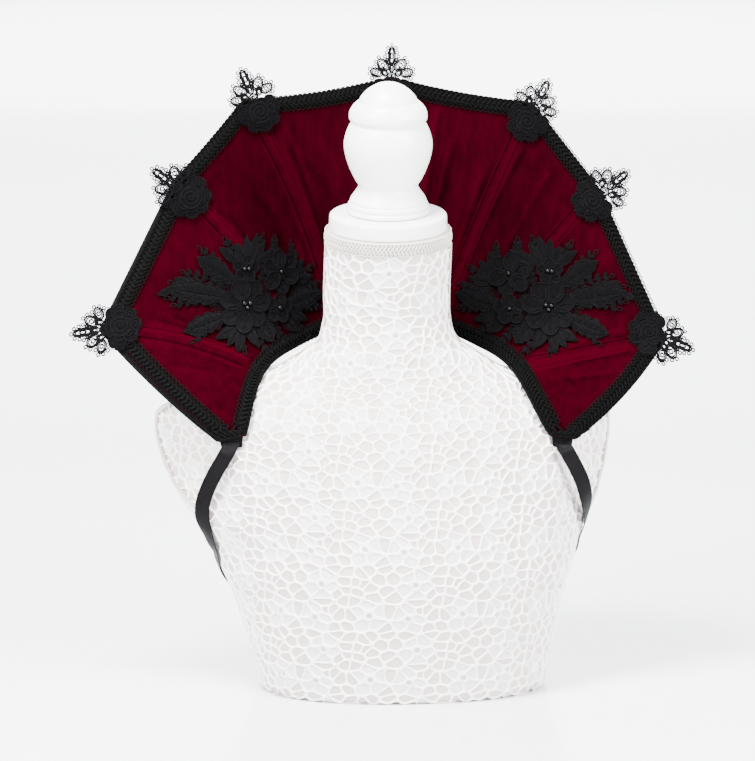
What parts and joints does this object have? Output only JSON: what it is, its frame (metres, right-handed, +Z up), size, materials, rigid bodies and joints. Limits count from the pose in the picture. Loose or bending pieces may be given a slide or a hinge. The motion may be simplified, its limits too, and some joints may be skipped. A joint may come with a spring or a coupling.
{
  "type": "stand-up collar on dress form",
  "caption": "Boned stand-up collar of velvet with braided edges, lace points and floral lace motifs, tied by ribbons round a limbless, lace-covered dress form with a turned finial.",
  "frame": {"origin": "on the table, in the flat underside of the dress form, straight below the neck", "axes": "+Z up along the form, -Y towards the front of the form, +X to the viewer's right"},
  "size_m": [0.5597, 0.2502, 0.5771],
  "materials": {
    "burgundy_velvet": "soft pile",
    "black_lining": "dull weave",
    "black_gimp": "dull cord",
    "black_lace": "dull thread",
    "black_satin": "satin",
    "form_lace": "dull thread",
    "white_paint": "painted satin"
  },
  "bodies": {
    "root": {"form_torso": "form_lace", "neck_trim": "form_lace", "neck_cap": "white_paint", "finial": "white_paint", "velvet_facing": "burgundy_velvet", "outer_shell": "black_lining", "bone_channel_low_left": "burgundy_velvet", "bone_channel_mid_left": "burgundy_velvet", "bone_channel_high_left": "burgundy_velvet", "bone_channel_centre": "burgundy_velvet", "bone_channel_high_right": "burgundy_velvet", "bone_channel_mid_right": "burgundy_velvet", "bone_channel_low_right": "burgundy_velvet", "gimp_braid_rim": "black_gimp", "gimp_braid_neck": "black_gimp", "lace_tip_low_left": "black_lace", "lace_tip_mid_left": "black_lace", "lace_tip_high_left": "black_lace", "lace_tip_centre": "black_lace", "lace_tip_high_right": "black_lace", "lace_tip_mid_right": "black_lace", "lace_tip_low_right": "black_lace", "applique_left": "black_lace", "applique_right": "black_lace", "ribbon_left": "black_satin", "ribbon_right": "black_satin", "ribbon_knot": "black_satin", "ribbon_end_left": "black_satin", "ribbon_end_right": "black_satin"}
  },
  "joints": []
}
